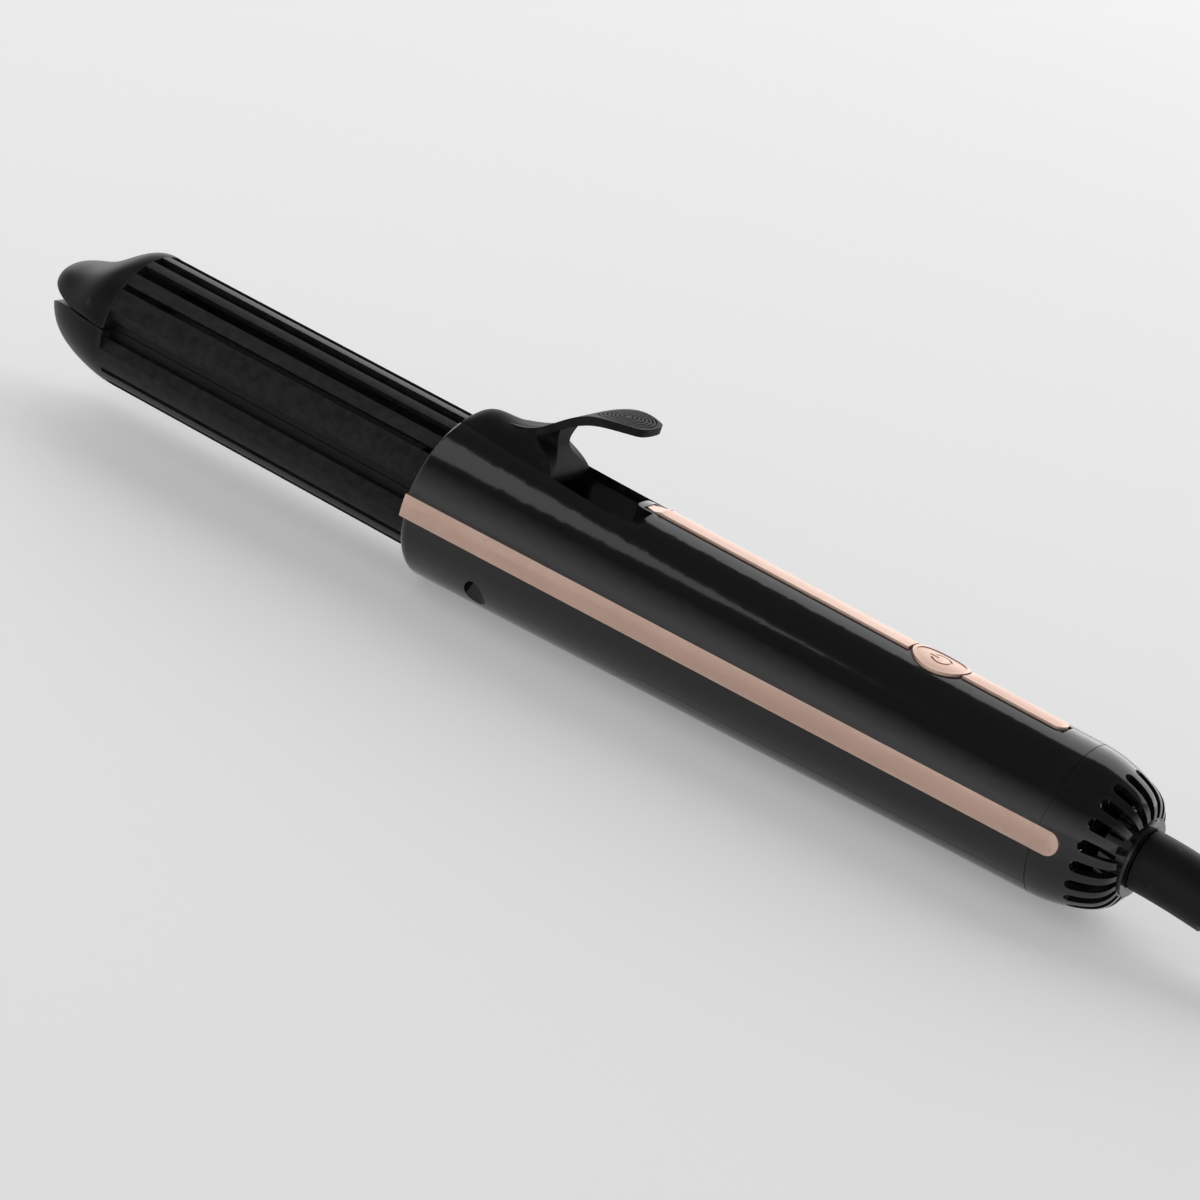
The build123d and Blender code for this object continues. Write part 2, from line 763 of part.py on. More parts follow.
def pocket_liner_piece():
    # a tub under the open rear of the cut-out; its rear end is a ramp up to the housing's surface
    inside = housing_solid(housing_wall, 0, cutout_end_x + 10)
    z0 = pocket_floor_z - pocket_wall
    tub = cutout(pocket_wall, z0, 30) & inside & slab(pocket_front_x, 90, -30, 30, 0, 40)
    ramp_x = cutout_end_x - 13.0
    ramp = [
        Line((-30, pocket_floor_z), (ramp_x, pocket_floor_z)),
        ThreePointArc((ramp_x, pocket_floor_z), (cutout_end_x - 4.2, pocket_floor_z + 3.2),
                      (cutout_end_x + 0.6, surface_z(cutout_end_x) - 0.6)),
        Line((cutout_end_x + 0.6, surface_z(cutout_end_x) - 0.6), (cutout_end_x + 0.6, 40)),
        Line((cutout_end_x + 0.6, 40), (-30, 40)),
        Line((-30, 40), (-30, pocket_floor_z)),
    ]
    room = extrude(Plane.XZ * make_face(ramp), 40, both=True)
    # behind the lever its walls slope, so that a thumb slides in
    high = surface_z(pocket_slope_x, cutout_rear_half, housing_wall)
    low_face = Pos(0, 0, pocket_floor_z) * cutout_face(-pocket_slope)
    funnel = loft([low_face, Pos(0, 0, high) * cutout_face(0)])
    funnel += cutout(0, high, 40)
    funnel += cutout(0, pocket_floor_z, high) & slab(0, pocket_slope_x, -20, 20, 0, 40)
    return tub - ((funnel & room) - trim_island())


# Trims
def top_trim_tip(grow):
    # the trim's pointed front end, which bends down over the rear of the pocket
    top = surface_z(top_trim_bend_x) + top_trim_proud
    low = surface_z(top_trim_bend_x) - trim_depth - grow
    back = top_trim_bend_x + 0.5
    front = top_trim_tip_x - grow
    half = top_trim_half + grow
    tip = side_shape([(back, top), (back, low), (front, low - top_trim_tip_drop),
                      (front, top - top_trim_tip_drop - 0.4), (top_trim_tip_x + 4.0, top - 0.5)])
    plan = make_face(Polyline((front, -0.7 - grow), (front + 3.6, -half), (back, -half), (back, half),
                              (front + 3.6, half), (front, 0.7 + grow), close=True))
    return tip & extrude(plan, 40)


def top_trim_front_piece():
    x1 = button_x - button_half_length - button_gap - top_trim_gap
    body = top_trim_shape(top_trim_bend_x, x1, 0, top_trim_proud, trim_depth)
    return cut_oval_end(body + top_trim_tip(0))


def top_trim_rear_piece():
    half = top_trim_half
    body = top_trim_shape(button_x, top_trim_end, 0, top_trim_proud, trim_depth)
    round_x = top_trim_end - half
    plan = Pos(round_x, 0, 0) * extrude(Circle(half), 40) + slab(0, round_x, -half, half, 0, 40)
    return cut_oval_end(body & plan)


def cut_oval_end(body):
    grow = button_gap + top_trim_gap
    return body - oval(button_half_length + grow, button_half_width + grow, 0, 40)


# Power button
switch_top_z = board_z + board_thickness + switch_height


ear_top_z = surface_z(button_x, button_ear_half, housing_wall) - 0.25
button_bottom_z = ear_top_z - button_ear_thickness


def engraved(depth):
    # everything above a surface that lies this deep under the button's top
    around = housing_solid(-button_proud - 1, button_x - 20, button_x + 20)
    return around - housing_solid(depth - button_proud, button_x - 21, button_x + 21)


def power_button_piece():
    cap = oval(button_half_length, button_half_width, button_bottom_z, surface_z(button_x) + 5)
    cap &= housing_solid(-button_proud, button_x - 20, button_x + 20)
    dish = oval(button_half_length - button_rim, button_half_width - button_rim, 10, 40)
    cap -= engraved(button_dish) & dish
    ring = Circle(icon_r + icon_line / 2) - Circle(icon_r - icon_line / 2)
    ring -= Pos(-icon_r, 0) * Rectangle(icon_r, 4 * icon_line)
    icon = ring + Pos(-0.8 * icon_r, 0) * Rectangle(icon_r, icon_line)
    cap -= engraved(button_dish + icon_depth) & (Pos(button_x, 0, 10) * extrude(icon, 30))
    ears = slab(button_x - button_half_length - button_ear, button_x + button_half_length + button_ear,
                -button_ear_half, button_ear_half, button_bottom_z, ear_top_z)
    return cap + ears


def switch_plunger_piece():
    return rod_z(button_x, 0, plunger_r, switch_top_z - 0.9, button_bottom_z)


def tact_switch_piece():
    half = switch_size / 2
    z0 = board_z + board_thickness
    body = slab(button_x - half, button_x + half, -half, half, z0, switch_top_z)
    bore_z = switch_top_z - 0.9 - button_travel - 0.2
    return body - rod_z(button_x, 0, plunger_r + plunger_gap, bore_z, 40)


def control_board_piece():
    x0, x1 = board_front_x, board_front_x + board_length
    z0 = board_z
    board = slab(x0, x1, -board_half_width, board_half_width, z0, z0 + board_thickness)
    top = z0 + board_thickness
    relay = slab(x0 + 3, x0 + 13, -6, 4, top, top + 2.4)
    chip = slab(x1 - 11, x1 - 4, -3, 4, top, top + 1.2)
    return board + relay + chip


# Fan, motor, duct and filter
def fan_shroud_piece():
    x0, x1 = shroud_front_x, shroud_front_x + shroud_length
    z = housing_z((x0 + x1) / 2)
    body = housing_solid(housing_wall, x0, x1) - rod_x(x0 - 1, x1 + 1, shroud_bore_r, z)
    end = x0 + motor_overlap
    ring = rod_x(x0, end, motor_r + 1.6, z) - rod_x(x0 - 1, end + 1, motor_r, z)
    for angle in (90, 210, 330):
        strut = slab(x0, end, motor_r + 0.8, shroud_bore_r + 0.4, -strut_width / 2, strut_width / 2)
        ring += Pos(0, 0, z) * Rot(angle, 0, 0) * strut
    return body + ring


fan_z = housing_z(shroud_front_x + shroud_length / 2)
motor_rear_x = shroud_front_x + motor_overlap
fan_front_x = shroud_front_x + fan_front_gap + 1.5


def fan_motor_piece():
    front = motor_rear_x - motor_length
    body = rod_x(front, motor_rear_x, motor_r, fan_z)
    body += rod_x(front - 2.5, front, 3.0, fan_z)
    body -= rod_x(motor_rear_x - 7, motor_rear_x + 1, shaft_r + shaft_gap, fan_z)
    flats = slab(front - 1, motor_rear_x - 6, motor_r - 1.2, motor_r + 2, -30, 30)
    return body - flats - mirror(flats, Plane.XZ)


def motor_shaft_piece():
    return rod_x(motor_rear_x - 6.5, fan_front_x + fan_length, shaft_r, fan_z)


def fan_wheel_piece():
    x0, x1 = fan_front_x, fan_front_x + fan_length
    body = rod_x(x0, x1, fan_hub_r, fan_z)
    blade = Box(fan_length * 1.5, blade_thickness, fan_r)
    limit = rod_x(x0 + 0.4, x1 - 0.4, fan_r, fan_z)
    for i in range(fan_blades):
        placed = Pos((x0 + x1) / 2, 0, fan_z) * Rot(i * 360 / fan_blades, 0, 0)
        placed = placed * Pos(0, 0, fan_r / 2 + fan_hub_r / 2) * Rot(0, 0, blade_angle) * blade
        body += placed & limit
    return body - rod_x(x0 - 1, x1 + 1, shaft_r, fan_z)


def air_duct_piece():
    z = -duct_drop
    body = rod_x(duct_front_x, duct_rear_x, duct_r, z)
    for x in (duct_front_x, duct_rear_x - flange_thickness):
        flange = housing_solid(housing_wall, x, x + flange_thickness)
        body += flange & side_shape([(0, -60), (200, -60), (200, pocket_floor_z - pocket_wall),
                                     (0, pocket_floor_z - pocket_wall)])
    body -= rod_x(duct_front_x - 1, duct_rear_x + 1, duct_r - duct_wall, z)
    for x in cover_screw_x:
        if duct_front_x < x < duct_rear_x:
            body -= slab(x - cover_bar_width / 2, x + cover_bar_width / 2, -30, 30, -40,
                         -cover_drop + housing_z(x) + cover_bar_thickness)
    return body


def inlet_filter_piece():
    x0 = seam_x + filter_offset
    back = filter_offset + filter_thickness
    r = seam_r - (seam_r - cap_shoulder_r) * back / cap_shoulder_x - cap_wall - 0.25
    body = rod_x(x0, x0 + filter_thickness, r, seam_lift)
    holes = []
    for ring in range(1, 6):
        count = ring * 6
        for i in range(count):
            a = 2 * pi * i / count
            holes.append(rod_x(x0 - 1, x0 + filter_thickness + 1, filter_hole_r,
                               seam_lift + ring * 2.9 * sin(a), ring * 2.9 * cos(a)))
    return body - holes


# Swivel, retainer and boot
def cord_swivel_piece():
    z = seam_lift
    r = hub_bore_r - swivel_gap
    lip_x = hub_end_x - hub_lip
    body = rod_x(hub_back_x + retainer_thickness + 0.1, lip_x - 0.1, r, z)
    body += rod_x(lip_x - 0.2, hub_end_x + 0.1, r - hub_lip, z)
    return body - rod_x(hub_back_x, hub_end_x + 1, swivel_neck_r + swivel_gap, z)


def swivel_retainer_piece():
    body = rod_x(hub_back_x, hub_back_x + retainer_thickness, hub_bore_r, seam_lift)
    return body - rod_x(hub_back_x - 1, hub_back_x + retainer_thickness + 1, swivel_neck_r, seam_lift)


boot_start = Vector(hub_end_x + boot_offset, 0, seam_lift)
boot_curve_r = boot_length / radians(boot_bend)


def boot_point(s):
    a = s / boot_curve_r
    return boot_start + Vector(boot_curve_r * sin(a), 0, -boot_curve_r * (1 - cos(a)))


def boot_plane(s):
    a = s / boot_curve_r
    return Plane(origin=boot_point(s), x_dir=(0, 1, 0), z_dir=(cos(a), 0, -sin(a)))


def strain_relief_piece():
    shares = (0.0, 0.4, 0.75, 1.0)
    radii = (boot_r, boot_r - 0.2, boot_r - 1.2, boot_end_r)
    body = loft([boot_plane(t * boot_length) * Circle(r) for t, r in zip(shares, radii)])
    body += rod_x(hub_back_x - 1.5, boot_start.X + 0.2, swivel_neck_r, seam_lift)
    step = (boot_length - boot_smooth - 3) / boot_notches
    for i in range(boot_notches):
        plane = boot_plane(boot_smooth + (i + 0.5) * step)
        for turn in (0, 180):
            cut = Pos(0, boot_r, 0) * Box(2 * boot_r * 0.8, boot_r, boot_notch_width)
            body -= plane * Rot(0, 0, turn + 90 * (i % 2)) * cut
    return body


# The wand in its own frame
wand = {
    "upper_housing": upper_housing_piece(),
    "lower_housing": lower_housing_piece(),
    "lower_cover": lower_cover_piece(),
    "tail_cap": tail_cap_piece(),
    "pocket_liner": pocket_liner_piece(),
    "side_trim_left": mirror(side_trim_shape(0, trim_proud, trim_depth), Plane.XZ),
    "side_trim_right": side_trim_shape(0, trim_proud, trim_depth),
    "top_trim_front": top_trim_front_piece(),
    "top_trim_rear": top_trim_rear_piece(),
    "lower_arm_shell": lower_arm_shell_piece(),
    "lower_arm_nose": lower_nose_piece(),
    "lower_plate": lower(plate_piece()),
    "lower_heater": lower(heater_piece()),
    "thermal_fuse": fuse_piece(),
    "pivot_pin": rod_y(pivot_x, pivot_z, pin_r, -pin_half, pin_half),
    "torsion_spring": spring_piece(),
    "air_duct": air_duct_piece(),
    "fan_shroud": fan_shroud_piece(),
    "fan_motor": fan_motor_piece(),
    "inlet_filter": inlet_filter_piece(),
    "control_board": control_board_piece(),
    "tact_switch": tact_switch_piece(),
    "swivel_retainer": swivel_retainer_piece(),
    "strain_relief": strain_relief_piece(),
    "upper_arm_shell": upper_arm_shell_piece(),
    "upper_arm_nose": upper_nose_piece(),
    "upper_plate": plate_piece(),
    "upper_heater": heater_piece(),
    "clamp_lever": clamp_lever_piece(),
    "power_button": power_button_piece(),
    "switch_plunger": switch_plunger_piece(),
    "fan_wheel": fan_wheel_piece(),
    "motor_shaft": motor_shaft_piece(),
    "cord_swivel": cord_swivel_piece(),
}
for side, name in ((1, "left"), (-1, "right")):
    wand[f"lever_screw_{name}"] = lever_screw(side * lever_screw_y)
    wand[f"housing_screw_{name}"] = housing_screw(side * housing_screw_y)
for x, name in zip(cover_screw_x, ("front", "rear")):
    wand[f"cover_screw_{name}"] = cover_screw(x)

# Lay the wand down: its flat underside becomes level, at height 0, under the middle of its box
lay_angle = degrees(atan2(seam_lift + collar_r - seam_r, housing_length))
turn = Rot(0, lay_angle, 0)
turned = {name: turn * shape for name, shape in wand.items()}
boxes = [shape.bounding_box() for shape in turned.values()]
middle_x = (min(box.min.X for box in boxes) + max(box.max.X for box in boxes)) / 2
flat_height = (collar_r - rest_flat) * cos(radians(lay_angle))
lay = Pos(-middle_x, 0, flat_height) * turn
print("lay angle", round(lay_angle, 4), "middle x", round(middle_x, 4), "lift", round(flat_height, 4))
for name, shape in wand.items():
    export_step(lay * shape, f"parts/{name}.step")


# Cord: a lead from the boot down to the floor, a tied hank of the length that is put away, and a
# short tail to the plug, which lies on the hank
cord_r = cord_d / 2
hank_z = floor_gap + tie_thickness + tie_gap + cord_r
boot_end = (lay * Location(boot_plane(boot_length))).position
boot_angle = radians(boot_bend + lay_angle)
lead_drop = boot_end.Z - hank_z
lead_points = [
    boot_end,
    boot_end + Vector(lead_drop / tan(boot_angle), 0, -lead_drop),
    Vector(boot_end.X + 34.6, -6.6, hank_z),
    Vector(boot_end.X + 46.6, -18.6, hank_z),
]


def turn_radii(points):
    # 0.45 of the shorter run beside each corner, over the tangent of half the turn there
    radii = []
    for a, b, c in zip(points, points[1:], points[2:]):
        half_turn = radians((b - a).get_angle(c - b)) / 2
        radii.append(0.45 * min((b - a).length, (c - b).length) / tan(half_turn))
    return radii


def tube(points):
    radii = turn_radii(points)
    print("turn radii", [round(r, 1) for r in radii], "for a cord of", cord_d)
    path = FilletPolyline(*points, radius=radii)
    end = Plane(origin=points[0], z_dir=points[1] - points[0])
    return sweep(end * Circle(cord_r), path=path), path.length


lead, lead_length = tube(lead_points)

# The hank's loops are runs along X with a fold at each end, drawn in at the waist. Progress along
# them is counted in parts: run to +X, fold, run to -X, fold. The loops step in, out, in and out
# again, and climb a layer along the run in whose middle they turn back.
hank_start = 3.75
hank_turns_back = (8.5, 14.5, 20.5)
hank_stop = 24.0
hank_length = cord_length - lead_length - tail_length - 2 * cord_d
loops = (hank_stop - hank_start) / 4


def fold_radius(part):
    # a steady step in or out, from the tightest loop at each first and last turning back
    first, middle, last = hank_turns_back
    nearest = min(abs(part - first), abs(part - last))
    out = nearest if part < first or part > last else min(part - first, last - part)
    return hank_fold_r + hank_step * out / 4


mean_r = sum(fold_radius(hank_start + (i + 0.5) * loops / 100 * 4) for i in range(100)) / 100
run_guess = (hank_length / loops - 2 * pi * mean_r) / 2
hank_run = run_guess - (pi * hank_draw_in) ** 2 / (4 * run_guess)


def hank_point(part):
    # measured from the middle of the hank
    which, along = int(part) % 4, part - int(part)
    r = fold_radius(part)
    z = sum((cord_d + hank_layer_gap) * (1 - cos(pi * min(max(part - back + 0.5, 0), 1))) / 2
            for back in hank_turns_back)
    if which in (0, 2):
        side = -1 if which == 0 else 1
        drawn = hank_draw_in * (1 - cos(2 * pi * along)) / 2
        return Vector(side * hank_run * (0.5 - along), side * (r - drawn), z)
    angle = pi * (along - 0.5) if which == 1 else pi * (along + 0.5)
    end_x = hank_run / 2 if which == 1 else -hank_run / 2
    return Vector(end_x + r * cos(angle), r * sin(angle), z)


def hank_heading(part):
    return (hank_point(part + 0.002) - hank_point(part - 0.002)).normalized()


def biarc(p0, t0, p1, t1):
    # two arcs that meet smoothly, from p0 along t0 to p1 along t1
    v = p1 - p0
    a = 2 * (t0.dot(t1) - 1)
    b = -2 * v.dot(t0 + t1)
    c = v.dot(v)
    reach = -c / b if abs(a) < 1e-6 else (-b - sqrt(b * b - 4 * a * c)) / (2 * a)
    near, far = p0 + t0 * reach, p1 - t1 * reach
    joint = (near + far) * 0.5
    along = (far - near).normalized()
    return [TangentArc(p0, joint, tangent=t0), TangentArc(joint, p1, tangent=along)]


# The hank starts straight, in line with the end of the lead
lead_end = lead_points[-1]
lead_heading = (lead_end - lead_points[-2]).normalized()
start_heading = hank_heading(hank_start)
hank_turn = degrees(atan2(lead_heading.Y, lead_heading.X) - atan2(start_heading.Y, start_heading.X))
print("hank turned by", round(hank_turn, 3), "degrees to meet the lead")
hank_middle = lead_end + lead_heading * cord_d - hank_point(hank_start).rotate(Axis.Z, hank_turn)


def placed_point(part):
    return hank_middle + hank_point(part).rotate(Axis.Z, hank_turn)


def placed_heading(part):
    return hank_heading(part).rotate(Axis.Z, hank_turn)


half_parts = [0.5 * i for i in range(ceil(2 * hank_start + 0.1), ceil(2 * hank_stop))]
hank_stops = [hank_start] + half_parts + [hank_stop]
hank_edges = [Line(lead_end, placed_point(hank_start))]
for a, b in zip(hank_stops, hank_stops[1:]):
    hank_edges += biarc(placed_point(a), placed_heading(a), placed_point(b), placed_heading(b))
hank_last = placed_point(hank_stop)
out = placed_heading(hank_stop)
hank_end = hank_last + out * cord_d
hank_edges.append(Line(hank_last, hank_end))
hank_path = Wire(hank_edges)
hank = sweep(Plane(origin=lead_end, z_dir=lead_heading) * Circle(cord_r), path=hank_path)

# The least gap of the hank to itself, on points along its arcs
per_arc = 6
line = [edge.position_at(i / per_arc) for edge in hank_edges for i in range(per_arc)]
apart = per_arc * 6
gaps = [(line[i] - line[j]).length for i in range(len(line)) for j in range(i + apart, len(line))]
print("hank run", round(hank_run, 2), "tightest fold", hank_fold_r, "widest", round(fold_radius(14.5), 2),
      "least gap to itself", round(min(gaps) - cord_d, 3))

# Tail and plug: up over the tie to the middle of the hank, where the plug lies on it. Each point
# is (forward, to the left, share of the rise) from the hank's end.
hank_top = hank_z + 3 * (cord_d + hank_layer_gap) + cord_r
plug_z = hank_top + plug_thickness / 2 + floor_gap
forward = Vector(out.X, out.Y, 0).normalized()
leftward = forward.rotate(Axis.Z, 90)
tail_steps = [(0, 0, 0), (15, 0, 0), (31, 4.5, 0.5), (47, 10.5, 1), (63, 13.0, 1)]
tail_points = [
    hank_end + forward * a + leftward * b + Vector(0, 0, share * (plug_z - hank_end.Z))
    for a, b, share in tail_steps
]
tail, tail_made = tube(tail_points)
plug_heading = Vector(tail_points[-1].X - tail_points[-2].X, tail_points[-1].Y - tail_points[-2].Y, 0)
plug_plane = Plane(origin=tail_points[-1], x_dir=plug_heading, z_dir=(0, 0, 1))
print("cord length", round(lead_length + hank_path.length + tail_made, 1), "lead", round(lead_length, 1),
      "hank", round(hank_path.length, 1), "tail", round(tail_made, 1))
print("hank volume", round(hank.volume), "section times length",
      round(pi * cord_r ** 2 * hank_path.length))
print("lead points", [tuple(round(v, 2) for v in p) for p in lead_points])
print("hank middle", tuple(round(v, 2) for v in hank_middle))
print("tail points", [tuple(round(v, 2) for v in p) for p in tail_points])


def waist_side(part):
    # how far out the cord reaches within the tie's width
    edge = tie_width / 2 / hank_run
    return max(abs(hank_point(part + step).Y) for step in (-edge, 0, edge)) + cord_r + tie_gap


def tie_piece():
    # a flat band around the hank's waist
    y0, y1 = -waist_side(12.5), waist_side(14.5)
    z0 = -cord_r - tie_gap
    z1 = 3 * (cord_d + hank_layer_gap) + cord_r + tie_gap
    t = tie_thickness
    half = tie_width / 2
    band = slab(-half, half, y0 - t, y1 + t, z0 - t, z1 + t)
    band = fillet(band.edges().filter_by(Axis.X), cord_r + t)
    hole = slab(-half - 1, half + 1, y0, y1, z0, z1)
    hole = fillet(hole.edges().filter_by(Axis.X), cord_r)
    return band - hole


def plug_piece():
    # a flat two-prong plug, seen from above: neck, shoulders and a wide face for the prongs
    x0 = plug_neck_length
    x1 = x0 + plug_body_length
    half = plug_width / 2
    outline = [
        (x0, -0.4 * half), (x0 + 0.45 * plug_body_length, -0.72 * half),
        (x0 + 0.7 * plug_body_length, -half), (x1, -half),
    ]
    outline += [(x, -y) for x, y in reversed(outline)]
    body = extrude(make_face(Polyline(*outline, close=True)), plug_thickness / 2, both=True)
    body = fillet(body.edges(), plug_round)
    neck = Rot(0, 90, 0) * Cone(plug_neck_r, plug_neck_r + 1.2, plug_neck_length + 3)
    body += Pos((plug_neck_length + 3) / 2, 0, 0) * neck
    for y in (-prong_spacing / 2, prong_spacing / 2):
        body -= rod_x(x1 - prong_socket, x1 + 1, prong_r, 0, y)
    return body


def prong(y):
    x1 = plug_neck_length + plug_body_length
    body = rod_x(x1 - prong_socket, x1 + prong_length, prong_r, 0, y)
    return chamfer(body.faces().sort_by(Axis.X)[-1].edges(), prong_r / 3)


hank_place = Location((hank_middle.X, hank_middle.Y, hank_middle.Z), (0, 0, hank_turn))
cord_pieces = {
    "cord_lead": lead,
    "cord_hank": hank,
    "cord_tail": tail,
    "hank_tie": hank_place * tie_piece(),
    "plug": plug_plane * plug_piece(),
    "plug_prong_left": plug_plane * prong(prong_spacing / 2),
    "plug_prong_right": plug_plane * prong(-prong_spacing / 2),
}
for name, shape in cord_pieces.items():
    export_step(shape, f"parts/{name}.step")
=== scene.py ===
from math import cos, pi, radians, sin

import bpy
from mathutils import Matrix, Vector


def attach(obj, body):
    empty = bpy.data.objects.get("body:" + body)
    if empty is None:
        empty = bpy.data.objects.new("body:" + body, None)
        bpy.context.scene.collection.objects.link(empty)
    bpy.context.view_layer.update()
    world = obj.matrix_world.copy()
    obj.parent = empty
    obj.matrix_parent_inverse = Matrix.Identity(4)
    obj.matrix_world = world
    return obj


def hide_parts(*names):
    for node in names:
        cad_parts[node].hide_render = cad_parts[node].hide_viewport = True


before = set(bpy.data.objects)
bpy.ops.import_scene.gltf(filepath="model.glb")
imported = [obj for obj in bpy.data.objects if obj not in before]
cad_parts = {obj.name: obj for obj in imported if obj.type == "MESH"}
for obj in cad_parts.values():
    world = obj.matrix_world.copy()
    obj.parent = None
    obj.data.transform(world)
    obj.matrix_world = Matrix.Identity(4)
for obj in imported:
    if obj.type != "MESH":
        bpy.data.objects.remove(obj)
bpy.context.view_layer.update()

mm = 0.001
white = (1, 1, 1, 1)

# The wand lies tilted by a degree or so: this turns and moves its own frame onto the floor
layDown = {"angle": 1.4111, "middle": 55.4692, "lift": 20.4938}
lay = Matrix.Translation((-layDown["middle"], 0, layDown["lift"]))
lay @= Matrix.Rotation(radians(layDown["angle"]), 4, "Y")


def onWand(x, y, z):
    # a place in the wand's own frame, in mm, as a place in the scene, in metres
    return (lay @ Vector((x, y, z))) * mm


# Camera, as the photograph was taken: its place in mm, angles in degrees, nearest and farthest in metres
cameraSet = {"place": (415.75, -758.20, 307.37), "turn": 26.01, "lookDown": 20.38, "roll": 18.95,
             "lens": 116.7, "sensor": 36, "nearest": 0.01, "farthest": 20}


def placeCamera():
    turn, down, roll = (radians(cameraSet[k]) for k in ("turn", "lookDown", "roll"))
    ahead = Vector((-sin(turn) * cos(down), cos(turn) * cos(down), -sin(down)))
    right = ahead.cross(Vector((0, 0, 1))).normalized()
    up = right.cross(ahead)
    rolledRight = right * cos(roll) + up * sin(roll)
    rolledUp = up * cos(roll) - right * sin(roll)
    facing = Matrix((rolledRight, rolledUp, -ahead)).transposed().to_4x4()
    data = bpy.data.cameras.new("photoCamera")
    data.lens = cameraSet["lens"]
    data.sensor_width = cameraSet["sensor"]
    data.clip_start = cameraSet["nearest"]
    data.clip_end = cameraSet["farthest"]
    camera = bpy.data.objects.new("photoCamera", data)
    bpy.context.scene.collection.objects.link(camera)
    camera.matrix_world = lay.to_3x3().to_4x4() @ facing
    camera.location = onWand(*cameraSet["place"])
    bpy.context.scene.camera = camera


placeCamera()
print("camera placed")

# Cord: the lead to the floor, the tied hank of folded loops and the tail to the plug, in mm
cordSet = {"thickness": 5.6, "length": 1800, "middle": (292.2, -6.55, 3.72), "turn": -1.221, "run": 97.22,
           "fold": 16.8, "step": 6.6, "layer": 6.1, "drawIn": 7.0, "turnsBack": (8.5, 14.5, 20.5),
           "start": 3.75, "stop": 24.0, "pointsPerPart": 6, "smoothSteps": 4, "roundSteps": 5}
leadPoints = [(175.25, 0.0, 9.77), (192.41, 0.0, 3.72), (209.85, -6.6, 3.72), (221.85, -18.6, 3.72)]
tailPoints = [(248.71, -28.32, 22.02), (263.7, -28.94, 22.02), (279.87, -25.1, 26.83),
              (296.11, -19.77, 31.64), (312.2, -17.94, 31.64)]


def climbed(part):
    # how high the cord has climbed: a layer along each run in whose middle the loops turn back
    shares = [min(max(part - back + 0.5, 0), 1) for back in cordSet["turnsBack"]]
    return sum(cordSet["layer"] * (1 - cos(pi * share)) / 2 for share in shares)


def hankPoint(part):
    # parts follow each other as run, fold, run, fold; the loops step in and out
    first, last = cordSet["turnsBack"][0], cordSet["turnsBack"][-1]
    nearest = min(abs(part - first), abs(part - last))
    out = nearest if part < first or part > last else min(part - first, last - part)
    r = cordSet["fold"] + cordSet["step"] * out / 4
    z = climbed(part)
    which, along = int(part) % 4, part - int(part)
    if which in (0, 2):
        side = which - 1
        drawn = cordSet["drawIn"] * (1 - cos(2 * pi * along)) / 2
        place = Vector((side * cordSet["run"] * (0.5 - along), side * (r - drawn), z))
    else:
        a = pi * (along + (which - 2) / 2)
        place = Vector((cordSet["run"] / 2 * (2 - which) + r * cos(a), r * sin(a), z))
    return Vector(cordSet["middle"]) + Matrix.Rotation(radians(cordSet["turn"]), 3, "Z") @ place


def hankPoints():
    count = round((cordSet["stop"] - cordSet["start"]) * cordSet["pointsPerPart"])
    step = (cordSet["stop"] - cordSet["start"]) / count
    return [tuple(hankPoint(cordSet["start"] + i * step)) for i in range(count + 1)]


def makeCord():
    route = leadPoints + hankPoints() + tailPoints
    curve = bpy.data.curves.new("mainsCord", "CURVE")
    curve.dimensions = "3D"
    spline = curve.splines.new("NURBS")
    spline.points.add(len(route) - 1)
    for point, place in zip(spline.points, route):
        point.co = (*(v * mm for v in place), 1)
        point.radius = cordSet["thickness"] / 2 * mm
    spline.order_u = 3
    spline.use_endpoint_u = True
    spline.resolution_u = cordSet["smoothSteps"]
    # each point carries the cord's radius, so that the curve's box is the cord's own
    curve.bevel_depth = 1
    curve.bevel_resolution = cordSet["roundSteps"]
    curve.use_fill_caps = True
    cord = bpy.data.objects.new("mainsCord", curve)
    bpy.context.scene.collection.objects.link(cord)
    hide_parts("cord_lead", "cord_hank", "cord_tail")
    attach(cord, "handle")
    return cord


mainsCord = makeCord()
print("cord laid")


# Effects that several materials share
def newGroup(name, inputs, outputs):
    group = bpy.data.node_groups.new(name, "ShaderNodeTree")
    for label, kind, value in inputs:
        socket = group.interface.new_socket(name=label, in_out="INPUT", socket_type="NodeSocket" + kind)
        socket.default_value = value
    for label, kind in outputs:
        group.interface.new_socket(name=label, in_out="OUTPUT", socket_type="NodeSocket" + kind)
    return group, group.nodes.new("NodeGroupInput"), group.nodes.new("NodeGroupOutput")


def noiseIn(group, scale, detail=2.0, stretch=(1, 1, 1)):
    # noise on the object's own coordinates, so that it stays on a piece that moves
    place = group.nodes.new("ShaderNodeTexCoord")
    squeeze = group.nodes.new("ShaderNodeMapping")
    squeeze.inputs["Scale"].default_value = stretch
    noise = group.nodes.new("ShaderNodeTexNoise")
    noise.inputs["Detail"].default_value = detail
    group.links.new(place.outputs["Object"], squeeze.inputs["Vector"])
    group.links.new(squeeze.outputs["Vector"], noise.inputs["Vector"])
    if isinstance(scale, (int, float)):
        noise.inputs["Scale"].default_value = scale
    else:
        group.links.new(scale, noise.inputs["Scale"])
    return noise.outputs["Fac"]


def spreadOver(group, value, low, high, toLow, toHigh):
    ranged = group.nodes.new("ShaderNodeMapRange")
    group.links.new(value, ranged.inputs["Value"])
    for label, v in (("From Min", low), ("From Max", high), ("To Min", toLow), ("To Max", toHigh)):
        if isinstance(v, (int, float)):
            ranged.inputs[label].default_value = v
        else:
            group.links.new(v, ranged.inputs[label])
    return ranged.outputs["Result"]


